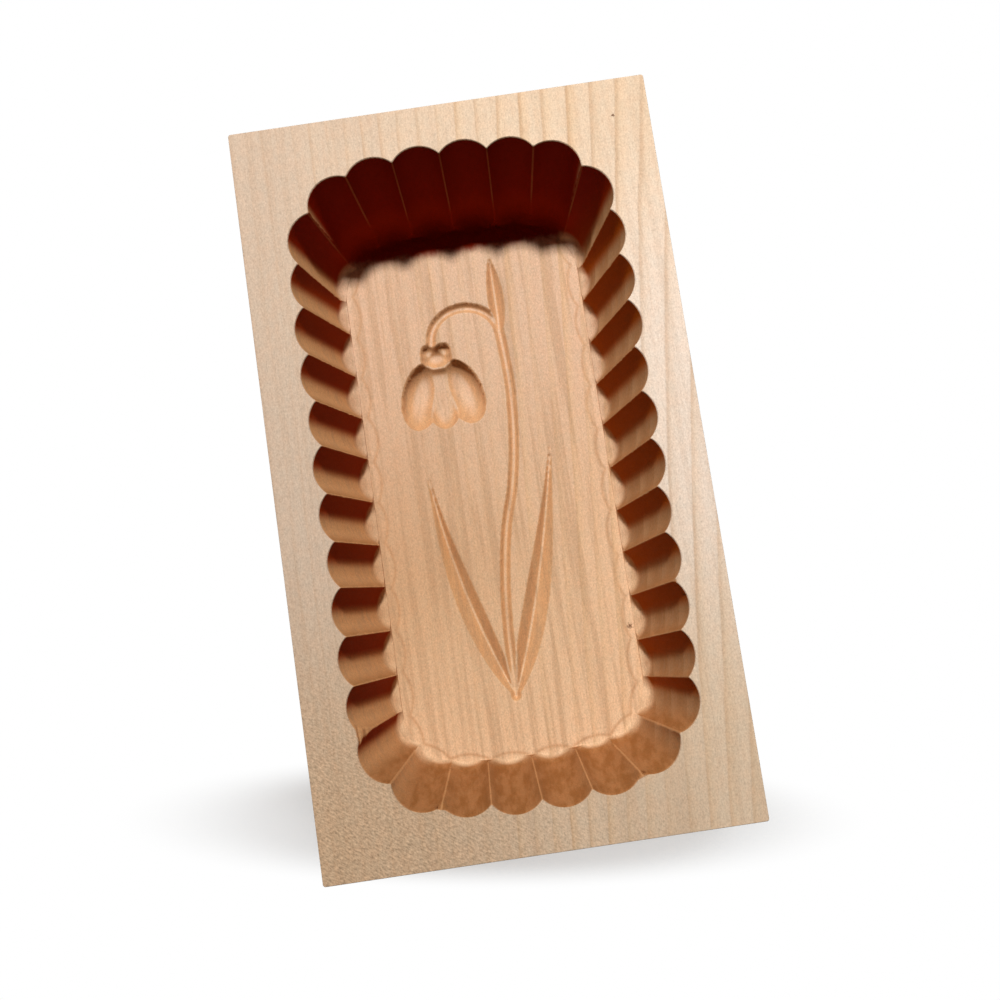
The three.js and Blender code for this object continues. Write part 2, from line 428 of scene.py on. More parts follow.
def smooth_curve(points):
    """A curve through the points: on each span, a cubic with the slope of its neighbours' chord."""
    p = np.asarray(points, float)
    padded = np.vstack([2 * p[0] - p[1], p, 2 * p[-1] - p[-2]])
    before, start, end, after = padded[:-3], padded[1:-2], padded[2:-1], padded[3:]
    t = np.linspace(0, 1, STEM_POINTS_PER_SPAN, endpoint=False)[:, None, None]
    curve = 0.5 * (
        2 * start
        + (end - before) * t
        + (2 * before - 5 * start + 4 * end - after) * t**2
        + (3 * start - before - 3 * end + after) * t**3
    )
    return np.vstack([curve.transpose(1, 0, 2).reshape(-1, 2), p[-1:]])


def stem_curve():
    """Half an ellipse over from the flower, then down the stalk's bends to the plant's foot."""
    x, y, across, up = ARCH
    a = np.linspace(math.pi, 0, ARCH_POINTS)
    arch = np.stack([x + across * np.cos(a), y + up * np.sin(a)], 1)
    return smooth_curve(np.vstack([arch, STALK, PLANT_FOOT]))


STEM = stem_curve()


def scoop(x, y, centre, size, depth, turn=0.0, power=EGG_POWER, skew=(0, 0)):
    """A bowl: depth by a power of what is left of one after the squared shares of the two half
    widths, where a half gives half an egg, and deeper towards the skew. Also the distance
    inside its outline, to first order."""
    half_width, half_length = size
    dx, dy = x - centre[0], y - centre[1]
    u = (dx * math.cos(turn) + dy * math.sin(turn)) / half_width
    v = (dy * math.cos(turn) - dx * math.sin(turn)) / half_length
    q = u**2 + v**2
    slope = 2 * np.hypot(u / half_width, v / half_length) + TINY
    depth = depth * (1 + skew[0] * u + skew[1] * v)
    return depth * np.maximum(1 - q, 0) ** power, (1 - q) / slope


def groove(x, y):
    """The stem: a groove whose depth falls off as a parabola with the distance from its curve."""
    points = np.stack([x.ravel(), y.ravel()], 1)
    start, step = STEM[:-1], np.diff(STEM, axis=0)
    away = np.full(len(points), FAR_AWAY)
    across, along = points[:, 0], points[:, 1]
    near = np.flatnonzero((across > STEM_LEFT) & (across < STEM_RIGHT) & (along > STEM_NEAR))
    for part in np.array_split(near, STEM_SLICES):
        offset = points[part, None] - start
        share = np.clip((offset * step).sum(-1) / (step**2).sum(-1), 0, 1)
        gap = np.linalg.norm(offset - share[..., None] * step, axis=-1)
        away[part] = gap.min(1)
    away = away.reshape(x.shape)
    depth = STEM_DEPTH * (1 - (away / STEM_RADIUS) ** 2)
    return np.maximum(depth, 0), STEM_RADIUS - away


def leaf(x, y, root, bend, tip, reach_left, reach_right):
    """Two flat flanks down to a keel: the keel is a bend from root to tip, the reach to each
    side swells and tapers along it, and the depth falls off evenly from keel to edge. The
    narrow end fades out."""
    t = np.linspace(0, 1, KEEL_POINTS)
    keel = [(1 - t) ** 2 * root[i] + 2 * t * (1 - t) * bend[i] + t**2 * tip[i] for i in (0, 1)]
    order = np.argsort(keel[1])
    share = np.interp(y, keel[1][order], t[order])
    middle = np.interp(y, keel[1][order], keel[0][order])
    swell = np.maximum(np.sin(math.pi * share**LEAF_FULLNESS), 0) ** (1 + LEAF_TAPER * share)
    fade = np.where(share > 0.5, np.minimum(swell / LEAF_FADE, 1), 1)
    swell = swell + LEAF_END
    inside = (y > keel[1].min()) & (y < keel[1].max())
    reach = np.where(x < middle, reach_left, reach_right) * swell
    off = np.abs(x - middle) / reach
    depth = np.where(inside, LEAF_DEPTH * fade * np.sqrt(swell) * np.maximum(1 - off, 0), 0)
    return depth, np.where(inside, (1 - off) * reach, FAR_OUTSIDE)


def middle_petal(x, y, centre, size, depth):
    """A scoop that keeps its depth up to a blunt far end and rises as half an egg to the near
    one. Also the distance inside its outline, to first order."""
    half_width, half_length = size
    u, v = (x - centre[0]) / half_width, (y - centre[1]) / half_length
    q = u**2 + np.where(v > 0, v**MIDDLE_PETAL_BLUNT, v**2)
    steep = np.where(v > 0, MIDDLE_PETAL_BLUNT / 2 * v ** (MIDDLE_PETAL_BLUNT - 1), v)
    slope = 2 * np.hypot(u / half_width, steep / half_length) + TINY
    return depth * np.sqrt(np.maximum(1 - q, 0)), (1 - q) / slope


def carving(x, y):
    """The deepest of all the cuts at each point, and the distance inside the nearest outline."""
    cx, cy = CALYX
    cuts = [groove(x, y), dishes(x, y)]
    cuts += [leaf(x, y, *sizes) for sizes in LEAVES]
    for side in (-1, 1):
        petal = (cx + PETAL_SHIFT + side * PETAL_PLACE[0], cy + PETAL_PLACE[1])
        skew = (side * PETAL_SKEW[0], PETAL_SKEW[1])
        cuts.append(scoop(x, y, petal, PETAL_SIZE, PETAL_DEPTH, side * PETAL_LEAN, BOWL_POWER, skew))
        knob = (cx + side * KNOB_PLACE[0], cy + KNOB_PLACE[1])
        cuts.append(scoop(x, y, knob, (KNOB_RADIUS, KNOB_RADIUS), KNOB_DEPTH))
    middle = (cx + MIDDLE_PETAL_PLACE[0], cy + MIDDLE_PETAL_PLACE[1])
    cuts.append(middle_petal(x, y, middle, MIDDLE_PETAL_SIZE, MIDDLE_PETAL_DEPTH))
    cuts.append(scoop(x, y, CALYX, CALYX_SIZE, CALYX_DEPTH, power=BOWL_POWER, skew=CALYX_SKEW))
    return np.max([c[0] for c in cuts], axis=0), np.max([c[1] for c in cuts], axis=0)


# The floor

FLOOR_GRID = (140, 352)
PATCH_INSET = 0.12
CORNER_TRIES = 4001

# Points this near to an outline move onto it, by at most the snap, along a slope from a nudge
SNAP_FROM = 0.205
SNAP = 0.17
SNAP_ROUNDS = 2
NUDGE = 0.02
LEAST_SLOPE = 0.3

# A cell is cut along the other diagonal where that saves this much area in its slimmest triangle
SLIM = 0.02


def floor_patch():
    """A grid over the floor: the four parts of its edge, from corner to corner, blended evenly
    across. Points near the outline of a cut move onto it. Level by the carving."""
    line = hollow_line(FLOOR_INSET + PATCH_INSET)
    dense = np.linspace(0, 0.25, CORNER_TRIES)
    out = line.outward(dense)
    corner = dense[np.abs(out[:, 0] - out[:, 1]).argmin()]
    m, n = FLOOR_GRID
    a, b = np.linspace(0, 1, m + 1), np.linspace(0, 1, n + 1)
    right = line.at(-corner + 2 * corner * b)
    left = line.at(0.5 + corner - 2 * corner * b)
    top = line.at(0.5 - corner - (0.5 - 2 * corner) * a)
    bottom = line.at(0.5 + corner + (0.5 - 2 * corner) * a)
    a, b = a[:, None, None], b[None, :, None]
    grid = (1 - a) * left + a * right + (1 - b) * bottom[:, None] + b * top[:, None]
    grid -= (1 - a) * ((1 - b) * bottom[0] + b * top[0]) + a * ((1 - b) * bottom[-1] + b * top[-1])
    x, y = grid[..., 0].copy(), grid[..., 1].copy()
    x_start, y_start = x.copy(), y.copy()
    h = NUDGE
    for _ in range(SNAP_ROUNDS):
        inside = carving(x, y)[1]
        gx = (carving(x + h, y)[1] - carving(x - h, y)[1]) / (2 * h)
        gy = (carving(x, y + h)[1] - carving(x, y - h)[1]) / (2 * h)
        steep = np.maximum(gx**2 + gy**2, LEAST_SLOPE)
        near = np.abs(inside) < SNAP_FROM
        near[[0, -1]] = False
        near[:, [0, -1]] = False
        x -= np.where(near, inside * gx / steep, 0)
        y -= np.where(near, inside * gy / steep, 0)
        x = np.clip(x, x_start - SNAP, x_start + SNAP)
        y = np.clip(y, y_start - SNAP, y_start + SNAP)
    return x, y, FLOOR - carving(x, y)[0], line


# The whole surface

CREASE_CEILING = FLOOR + 0.2


class Builder:
    """Collects rings and triangles into one closed mesh."""

    def __init__(self):
        self.points = []
        self.ridge = []
        self.sharp = []
        self.triangles = []
        self.flat = []
        self.count = 0

    def add(self, points, sharp=False, ridge=0.0):
        """Adds points, sharp along their ring or marked as on a ridge, and returns their numbers."""
        numbers = np.arange(self.count, self.count + len(points))
        self.points.append(points)
        self.ridge.append(np.full(len(points), ridge))
        self.sharp.append(np.full(len(points), self.count + 1 if sharp else 0))
        self.count += len(points)
        return numbers

    def cover(self, triangles, flat=False):
        """Adds triangles, with flat ones shaded as planes."""
        self.triangles.append(triangles)
        self.flat.append(np.full(len(triangles), flat))


def slimmest(points, *triangles):
    """The smaller area in plan of each pair of triangles."""
    areas = []
    for a, b, c in triangles:
        u, v = points[b] - points[a], points[c] - points[a]
        areas.append((u[:, 0] * v[:, 1] - u[:, 1] * v[:, 0]) / 2)
    return np.min(areas, axis=0)


def cover_floor(b):
    """The floor's grid, each cell cut along its flatter diagonal unless that leaves a triangle
    too slim. Gives back the points of its edge and their shares of the way round."""
    x, y, z, line = floor_patch()
    grid = b.add(np.stack([x, y, z], -1).reshape(-1, 3)).reshape(x.shape)
    p, q = grid[:-1, :-1].ravel(), grid[1:, :-1].ravel()
    r, s = grid[1:, 1:].ravel(), grid[:-1, 1:].ravel()
    level = z.ravel()
    plan = np.stack([x, y], -1).reshape(-1, 2)
    room = slimmest(plan, (p, q, r), (p, r, s)) - slimmest(plan, (p, q, s), (q, r, s))
    straight = np.abs(level[p] - level[r]) <= np.abs(level[q] - level[s])
    straight = np.where(np.abs(room) > SLIM, room > 0, straight)
    first = np.where(straight[:, None], np.stack([p, q, r], 1), np.stack([p, q, s], 1))
    second = np.where(straight[:, None], np.stack([p, r, s], 1), np.stack([q, r, s], 1))
    b.cover(np.vstack([first, second]))
    edge = np.concatenate([grid[-1, :-1], grid[::-1, -1][:-1], grid[0, ::-1][:-1], grid[:-1, 0]])
    return edge, line.share_of(plan[edge])


def cover_wall(b, edge, edge_share):
    """The foot and the fluted wall, from the floor's edge up to the rim. Gives back the rim's
    points, as numbers and as places."""
    rings, shares = foot_rings(wall_ring(LOWEST_LEVEL))
    numbers = [b.add(ring, sharp=i < 2) for i, ring in enumerate(rings)]
    b.cover(zip_rings(edge, numbers[0], edge_share, shares))
    column = np.arange(FLUTES * COLUMNS) % COLUMNS
    on_ridge = np.where(np.minimum(column, COLUMNS - column) < RIDGE_COLUMNS, 1.0, 0.0)
    low = np.linspace(LOWEST_LEVEL, ROUNDING_LEVEL, LOW_LEVELS)
    high = np.linspace(ROUNDING_LEVEL, HEIGHT - RIM_EASE, WALL_LEVELS)
    for level in np.concatenate([low, high[1:]]):
        ragged = chance.random(FLUTES)
        fuzz = ragged**3 * RIDGE_TEAR * (level > LOWEST_LEVEL)
        torn = fuzz + chipped(level) * (CHIP_LEAST + CHIP_SPREAD * ragged)
        numbers.append(b.add(at_level(wall_ring(level, torn=torn), level), ridge=on_ridge))
    rim = wall_ring(HEIGHT, RIM_EASE, torn)
    numbers.append(b.add(at_level(rim, HEIGHT), sharp=True))
    for inner, outer in zip(numbers[:-1], numbers[1:]):
        b.cover(quads_between(inner, outer))
    return numbers[-1], rim


def cover_block(b, rim_numbers, rim):
    """The top face, the eased edges, the sides and the underside."""
    a = np.linspace(0, math.pi / 2, EASE_STEPS + 1)
    profile = [(EASE * (1 - math.sin(t)), HEIGHT - EASE * (1 - math.cos(t))) for t in a]
    profile += [(inset, HEIGHT - level) for inset, level in profile[::-1]]
    numbers = []
    for i, (inset, level) in enumerate(profile):
        outline = block_line(inset)
        plane_ends = i in (0, EASE_STEPS, EASE_STEPS + 1, len(profile) - 1)
        numbers.append(b.add(at_level(outline, level), sharp=plane_ends))
        if i > 0:
            b.cover(quads_between(numbers[-2], numbers[-1]), flat=i == EASE_STEPS + 1)
    line = hollow_line(0)
    top = block_line(profile[0][0])
    b.cover(zip_rings(rim_numbers, numbers[0], line.share_of(rim), line.share_of(top)), flat=True)
    centre = b.add(np.array([[0.0, 0.0, 0.0]]))
    last = numbers[-1]
    b.cover(np.stack([last, np.full(len(last), centre[0]), np.roll(last, -1)], 1), flat=True)


def mould_surface():
    """The whole closed surface, from the middle of the floor outward and round to below."""
    b = Builder()
    edge, edge_share = cover_floor(b)
    rim_numbers, rim = cover_wall(b, edge, edge_share)
    cover_block(b, rim_numbers, rim)
    return b


def make_mesh(name, b):
    """Writes the collected surface into a mesh object, in metres, with its sharp and flat parts
    and with how near each point is to a crease of the floor or a ridge of the wall."""
    points = np.vstack(b.points)
    creased = crease(inside_arcs(points[:, 0], points[:, 1])) * (points[:, 2] < CREASE_CEILING)
    points = points * MM
    triangles = np.vstack(b.triangles)
    mesh = bpy.data.meshes.new(name)
    mesh.vertices.add(len(points))
    mesh.vertices.foreach_set("co", points.astype(np.float32).ravel())
    mesh.loops.add(triangles.size)
    mesh.loops.foreach_set("vertex_index", triangles.astype(np.int32).ravel())
    mesh.polygons.add(len(triangles))
    mesh.polygons.foreach_set("loop_start", np.arange(0, triangles.size, 3, dtype=np.int32))
    mesh.update(calc_edges=True)
    for mark, values in (("crease", creased), ("ridge", np.concatenate(b.ridge))):
        attribute = mesh.attributes.new(mark, "FLOAT", "POINT")
        attribute.data.foreach_set("value", values.astype(np.float32))
    mesh.polygons.foreach_set("use_smooth", ~np.concatenate(b.flat))
    ring = np.concatenate(b.sharp)
    ends = np.zeros(len(mesh.edges) * 2, np.int32)
    mesh.edges.foreach_get("vertices", ends)
    ends = ring[ends.reshape(-1, 2)]
    mesh.edges.foreach_set("use_edge_sharp", (ends[:, 0] > 0) & (ends[:, 0] == ends[:, 1]))
    mesh.validate()
    obj = bpy.data.objects.new(name, mesh)
    bpy.context.scene.collection.objects.link(obj)
    return obj


# Materials


class Shade:
    """A number from a shader node that takes part in sums. A plain number stays a number."""

    def __init__(self, tree, socket):
        self.tree, self.socket = tree, socket

    def maths(self, operation, *values):
        return self.tree.node("ShaderNodeMath", {"operation": operation}, dict(enumerate(values)))

    def __add__(self, other):
        return self.maths("ADD", self, other)

    def __radd__(self, other):
        return self.maths("ADD", other, self)

    def __sub__(self, other):
        return self.maths("SUBTRACT", self, other)

    def __rsub__(self, other):
        return self.maths("SUBTRACT", other, self)

    def __mul__(self, other):
        return self.maths("MULTIPLY", self, other)

    def __rmul__(self, other):
        return self.maths("MULTIPLY", other, self)

    def __truediv__(self, other):
        return self.maths("DIVIDE", self, other)

    def __rtruediv__(self, other):
        return self.maths("DIVIDE", other, self)

    def __pow__(self, other):
        return self.maths("POWER", self, other)

    def __abs__(self):
        return self.maths("ABSOLUTE", self)


class Tree:
    """A material's nodes, made one at a time."""

    def __init__(self, name):
        self.material = bpy.data.materials.new(name)
        self.material.use_nodes = True
        self.nodes = self.material.node_tree.nodes
        self.links = self.material.node_tree.links
        self.nodes.clear()

    def node(self, kind, settings=None, sockets=None, output=0):
        """Makes a node of that kind, first its settings, then the values or links of its
        sockets, and gives back one of its outputs."""
        made = self.nodes.new(kind)
        for key, value in (settings or {}).items():
            setattr(made, key, value)
        for key, value in (sockets or {}).items():
            socket = made.inputs[key]
            if isinstance(value, Shade):
                self.links.new(value.socket, socket)
            else:
                socket.default_value = value
        return Shade(self, made.outputs[output]) if made.outputs else None

    def parts(self, vector):
        """The vector's three parts."""
        made = self.nodes.new("ShaderNodeSeparateXYZ")
        self.links.new(vector.socket, made.inputs[0])
        return [Shade(self, output) for output in made.outputs]

    def place(self):
        """Where on the object a point is, in mm."""
        return self.stretch(self.node("ShaderNodeTexCoord", output=3), (1 / MM, 1 / MM, 1 / MM))

    def noise(self, vector, detail=2.0, roughness=0.5):
        """A cloud of values from 0 to 1 over that vector."""
        sockets = {"Vector": vector, "Scale": 1.0, "Detail": detail, "Roughness": roughness}
        return self.node("ShaderNodeTexNoise", {"noise_dimensions": "3D"}, sockets)

    def stretch(self, vector, factors):
        """The vector with each of its three parts times a factor."""
        return self.node("ShaderNodeVectorMath", {"operation": "MULTIPLY"}, {0: vector, 1: factors})

    def within(self, x, y, half_width, half_length, border):
        """1 in a rectangle about the block's middle, falling to 0 over a border outside it."""
        across = self.ramp(abs(x), half_width + border, half_width)
        return across * self.ramp(abs(y), half_length + border, half_length)

    def ramp(self, value, low, high):
        """0 below low, 1 above high and smooth between."""
        sockets = {"Value": value, "From Min": low, "From Max": high}
        return self.node("ShaderNodeMapRange", {"interpolation_type": "SMOOTHSTEP"}, sockets)

    def blend(self, share, first, second, how="MIX"):
        """One colour over another, by a share."""
        settings = {"data_type": "RGBA", "blend_type": how}
        return self.node("ShaderNodeMix", settings, {0: share, 6: first, 7: second}, output=2)


def srgb(r, g, b):
    """A colour as it is seen, 0 to 255, as the linear one that a socket takes."""
    linear = [c / 3294.6 if c <= 10.31 else ((c / 255 + 0.055) / 1.055) ** 2.4 for c in (r, g, b)]
    return (*linear, 1.0)


# The tree's middle, left of and below the block. The rings widen with their radius, so a ring's
# number goes with the logarithm of it, and a little faster at the near end of the block. The
# rings bend, drift and ripple by so many mm.
TREE_MIDDLE = (-120, -10)
EDGE_RADIUS = 90.4
RING_RATE = 35.8
RING_RATE_BY_Y = -0.0404
EDGE_RING = 100.1
RING_BEND_BY = 1.3
RING_DRIFT_BY = 4
RING_RIPPLE_BY = 1.6

# The noises of the wood: how fast they change across, along and up, in cells for each mm
RING_DRIFT = (0.012, 0.005, 0.012)
RING_RIPPLE = (0.09, 0.03, 0.09)
RING_STRENGTH = (0.15, 0.02, 0.15)
PORES = (3.4, 0.8, 3.4)
GRIT = (2.9, 2.2, 2.9)
SPECKLE = (1.9, 1.3, 1.9)
MOTTLE = (0.5, 0.3, 0.5)
SMEAR = (0.5, 0.3, 0.1)
CLOUD = (0.04, 0.02, 0.04)
BAND = (0.62, 0.02, 0.62)

# Rectangles that hold the hollow and the carving: half width, half length and soft border
HOLLOW_BOX = (44, 79, 1)
CARVING_BOX = (21, 58.5, 2)

# Where the colours change across, along and up the block, and where the far wall's painted shadow
# lies: from here to there, in mm
RIGHTWARD = (-48, 50)
NEARWARD = (5, 78)
FARWARD = (-35, 45)
NEAR_FOOT = (52, 66)
FAR_WALL = (44, 62)
PAINTED_SHADOW_EDGE = (57.1, 59.7)
PAINTED_SHADOW_LEVELS = (26, 18)
SPOT_LEVELS = (41, 39)

# Colours as seen, 0 to 255: left and right of the block. The top and the hollow are paler to the
# right, partly because the tree's outer wood is paler and, on the top face, partly as a painted
# sheen
TOP_LEFT = (203, 179, 158)
TOP_RIGHT = (224, 198, 171)
# A painted sheen on the right of the top face, strongest half-way along
TOP_SHEEN = (237, 218, 203)
TOP_NEAR_LEFT = (203, 168, 132)
HOLLOW_FAR = (214, 180, 154)
HOLLOW_LEFT = (200, 158, 119)
HOLLOW_RIGHT = (232, 194, 158)
HOLLOW_NEAR = (238, 202, 164)
RING_LINE = (176, 138, 104)
RING_TAIL = (222, 182, 138)
FLECK = (140, 104, 76)
WALL_LEFT = (208, 156, 108)
WALL_RIGHT = (164, 119, 81)
CARVED = (206, 146, 88)
# Painted shade along the creases that the cutters' tips leave on the floor
CREASE_SHADE = (184, 134, 92)
END_GRAIN = (168, 115, 72)
END_GRAIN_STREAK = (150, 98, 55)
# A painted highlight along the ridges of the flutes
RIDGE_HIGHLIGHT = (222, 168, 118)
# Painted shade: dark red-brown for the faces in the hollow that turn away from the window lamp,
# left, right and on the far wall
SHADE_PAINT_LEFT = (148, 48, 1)
SHADE_PAINT_RIGHT = (172, 84, 3)
SHADE_PAINT_FAR = (134, 26, 1)
# Painted shade for the carving's faces that turn away from the window lamp
CARVING_SHADE = (130, 86, 50)
# Painted shadow: the far wall's shadow on the floor and the lower wall, darker and redder
PAINTED_SHADOW = (148, 34, 2)
# Dark colour for round spots at a nick in the floor's edge, a mark on the top and the chips at the
# rim
DARK_SPOT = (96, 52, 26)

# Small dark spots, on the floor and near the rim: place across and along, and radius
SPOTS = (
    (27.2, -37.5, 0.8),
    (38.07, 72.68, 0.45),
    (36.3, -33, 0.6),
    (-31.2, -51.6, 1.2),
    (-20.95, -68.2, 0.8),
    (22.27, -67.4, 0.8),
)
SPOT_CORE = 0.3
SPOT_RAGGEDNESS = 2
SPOT_STRENGTH = 0.8


def ring_lines(t, place):
    """Where growth rings end: thin lines, sharp on the inner side, that fade out into the next
    ring. Also the fade by itself, and a chance value for each ring."""
    x, y, z = t.parts(place)
    drift = t.noise(t.stretch(place, RING_DRIFT)) - 0.5
    ripple = t.noise(t.stretch(place, RING_RIPPLE), 3.0) - 0.5
    bend = t.ramp(y, 10, 90) * t.ramp(x, 0, 45) * RING_BEND_BY
    across = x - TREE_MIDDLE[0] + drift * RING_DRIFT_BY + ripple * RING_RIPPLE_BY - bend
    up = z - TREE_MIDDLE[1]
    radius = (across * across + up * up) ** 0.5 / EDGE_RADIUS
    rate = y * RING_RATE_BY_Y + RING_RATE
    rings = radius.maths("LOGARITHM", radius, math.e) * rate + EDGE_RING
    phase = rings.maths("FRACT", rings)
    line = (1 - t.ramp(phase, 0.03, 0.2)) + t.ramp(phase, 0.93, 1.0)
    tail = 1 - t.ramp(phase, 0.05, 0.6)
    chance = t.node("ShaderNodeTexWhiteNoise", {"noise_dimensions": "1D"}, {"W": rings - phase})
    strength = t.ramp(t.noise(t.stretch(place, RING_STRENGTH)), 0.2, 0.6)
    return line * (0.35 + 0.65 * strength) * (0.55 + 0.45 * chance), tail, chance


def maple():
    """Pale maple: thin brown lines where growth rings end, short flecks and darker end grain, with
    painted shade on the faces that turn from the window lamp, in the carving and along the floor's
    creases, the far wall's shadow painted on the floor, painted highlights on the ridges and a
    painted sheen on the top."""
    t = Tree("maple")
    place = t.place()
    x, y, z = t.parts(place)
    line, tail, chance = ring_lines(t, place)
    _, facing, upward = t.parts(t.node("ShaderNodeTexCoord", output=1))

    # Where on the block a point is, and which way it faces, each from 0 to 1
    below_top = t.ramp(z, HEIGHT - 0.1, HEIGHT - 0.6) * t.ramp(z, 3, 5)
    in_hollow = below_top * t.within(x, y, *HOLLOW_BOX)
    on_top = t.ramp(z, HEIGHT - 0.4, HEIGHT - 0.1)
    on_wall = t.ramp(z, FLOOR + 0.2, FLOOR + 5)
    in_carving = t.within(x, y, *CARVING_BOX) * t.ramp(z, FLOOR + 0.4, FLOOR) * in_hollow
    above_floor = t.ramp(z, FLOOR - 0.1, FLOOR + 1.2)
    near_foot = t.ramp(0 - y, *NEAR_FOOT)
    end_grain = t.ramp(facing, 0.35, 0.92) * (1 - near_foot) + t.ramp(facing, 0.1, 0.88) * near_foot
    end_grain = end_grain * (1 - in_hollow * (1 - above_floor))
    # Painted shade: faces in the hollow that turn away from the window lamp, above the floor
    painted_shade = t.ramp(0 - facing, -0.12, 0.3) * t.ramp(z, FLOOR + 0.6, FLOOR + 3) * in_hollow
    # Painted shade: faces of the carving that turn away from the window lamp
    carving_shade = t.ramp(0 - facing, 0.1, 0.75) * in_carving
    carved = t.ramp(1 - upward, 0.02, 0.16) * in_carving
    creased = t.node("ShaderNodeAttribute", {"attribute_name": "crease"}, output=2)
    on_ridge = t.node("ShaderNodeAttribute", {"attribute_name": "ridge"}, output=2) * on_wall

    # The grain, from fine to coarse, and the slanted marks of the rough near corner
    pores = t.noise(t.stretch(place, PORES), 2.0, 0.6)
    grit = t.noise(t.stretch(place, GRIT), 2.0, 0.7)
    speckle = t.noise(t.stretch(place, SPECKLE), 3.0, 0.7)
    mottle = t.noise(t.stretch(place, MOTTLE), 2.0, 0.6)
    smear = t.noise(t.stretch(place, SMEAR), 2.0, 0.6)
    cloud = t.noise(t.stretch(place, CLOUD), 3.0)
    band = t.noise(t.stretch(place, BAND))
    slanted = {0: (x * 0.8 - y * 0.6) * 1.1, 1: (x * 0.6 + y * 0.8) * 2.7, 2: z}
    streak = t.noise(t.node("ShaderNodeCombineXYZ", None, slanted), 1.0)

    # The top face and the hollow, with the rings on both
    rightward = t.ramp(x + (cloud - 0.5) * 60, *RIGHTWARD)
    nearward = t.ramp(0 - y, *NEARWARD)
    top = t.blend(rightward, srgb(*TOP_LEFT), srgb(*TOP_RIGHT))
    # Painted sheen on the right of the top face
    top = t.blend(t.ramp(abs(y - 8), 72, 10) * rightward * 0.9, top, srgb(*TOP_SHEEN))
    top = t.blend(nearward * (1 - rightward) * 0.75, top, srgb(*TOP_NEAR_LEFT))
    hollow = t.blend(rightward, srgb(*HOLLOW_LEFT), srgb(*HOLLOW_RIGHT))
    hollow = t.blend(nearward * 0.8, hollow, srgb(*HOLLOW_NEAR))
    hollow = t.blend(t.ramp(y, *FARWARD) * 0.8, hollow, srgb(*HOLLOW_FAR))
    wall = t.blend(rightward, srgb(*WALL_LEFT), srgb(*WALL_RIGHT))
    hollow = t.blend(on_wall, hollow, wall)
    hollow = t.blend(carved * 0.6, hollow, srgb(*CARVED))
    # Painted shade along the creases of the floor
    hollow = t.blend(creased * 0.5, hollow, srgb(*CREASE_SHADE))
    colour = t.blend(in_hollow, top, hollow)
    colour = t.blend(tail * rightward * (0.15 + 0.4 * chance), colour, srgb(*RING_TAIL))
    banded = t.ramp(band, 0.46, 0.64) * (0.12 + 0.24 * in_hollow) * (1 - end_grain * 0.8)
    colour = t.blend(banded, colour, srgb(*RING_LINE))
    clear = (0.4 + 0.6 * rightward) * (1 - 0.55 * in_hollow) * (1 - 0.4 * nearward)
    colour = t.blend(line * clear * 0.56, colour, srgb(*RING_LINE))
    rough_corner = t.ramp(0 - y - x * 0.7, 40, 105) * on_top
    flecked = t.ramp(speckle, 0.54, 0.66) * (0.08 + 0.22 * rough_corner)
    colour = t.blend(flecked, colour, srgb(*FLECK))

    # End grain, painted shade on faces turned from the lamp, painted highlights on the ridges,
    # painted shade in the carving, the far wall's painted shadow, and dark spots
    cut = t.blend(t.ramp(smear, 0.35, 0.65), srgb(*END_GRAIN), srgb(*END_GRAIN_STREAK))
    cut = t.blend(1.0, cut, 0.91 + 0.2 * rightward, "MULTIPLY")
    colour = t.blend(end_grain, colour, cut)
    # Painted shade, dark red-brown, on the faces turned away from the window lamp, darker still at
    # the far wall
    torn = t.blend(rightward, srgb(*SHADE_PAINT_LEFT), srgb(*SHADE_PAINT_RIGHT))
    far_wall = t.ramp(y, *FAR_WALL)
    torn = t.blend(far_wall, torn, srgb(*SHADE_PAINT_FAR))
    colour = t.blend(painted_shade, colour, torn)
    # Painted highlight along the ridges, weaker at the far wall
    colour = t.blend(on_ridge * (0.35 - 0.15 * far_wall), colour, srgb(*RIDGE_HIGHLIGHT))
    # Painted shade in the carving
    colour = t.blend(carving_shade * 0.5, colour, srgb(*CARVING_SHADE))
    # Painted shadow of the far wall on the floor and the lower wall at the far end
    deep = t.ramp(y + (mottle - 0.5) * 2, *PAINTED_SHADOW_EDGE) * t.ramp(z, *PAINTED_SHADOW_LEVELS) * in_hollow
    colour = t.blend(deep, colour, srgb(*PAINTED_SHADOW))
    # Darkens round spots at a nick in the floor's edge, a mark on the top and the chips at the rim
    mid_wall = t.ramp(z, FLOOR + 1, FLOOR + 2) * t.ramp(z, *SPOT_LEVELS)
    for spot_x, spot_y, size in SPOTS:
        off_x, off_y = x - spot_x, y - spot_y
        away = (off_x * off_x + off_y * off_y) ** 0.5 + (grit - 0.5) * size * SPOT_RAGGEDNESS
        spotted = (1 - t.ramp(away, size * SPOT_CORE, size)) * (1 - mid_wall)
        colour = t.blend(spotted * SPOT_STRENGTH, colour, srgb(*DARK_SPOT))

    # Slow changes of hue, then fine ones of lightness
    warm = t.blend(t.ramp(mottle, 0.3, 0.7), (1.02, 0.995, 0.97, 1), (0.98, 1.0, 1.0, 1))
    colour = t.blend(1.0, colour, warm, "MULTIPLY")
    grain = 1 + (grit - 0.5) * 0.62 + (pores - 0.5) * 0.34 + (streak - 0.5) * 1.15 * rough_corner
    colour = t.blend(1.0, colour, grain, "MULTIPLY")

    rough = t.ramp(speckle, 0.3, 0.7) * 0.1 + 0.56
    height = pores * 0.03 + grit * 0.03 + speckle * 0.03 * (1 + rough_corner * 3) - line * 0.02
    bump = t.node("ShaderNodeBump", None, {"Height": height, "Strength": 0.7, "Distance": 0.001})
    sockets = {"Base Color": colour, "Roughness": rough, "Normal": bump, "Specular IOR Level": 0.02}
    shader = t.node("ShaderNodeBsdfPrincipled", None, sockets)
    t.node("ShaderNodeOutputMaterial", None, {"Surface": shader})
    return t.material


# Stage, camera and light

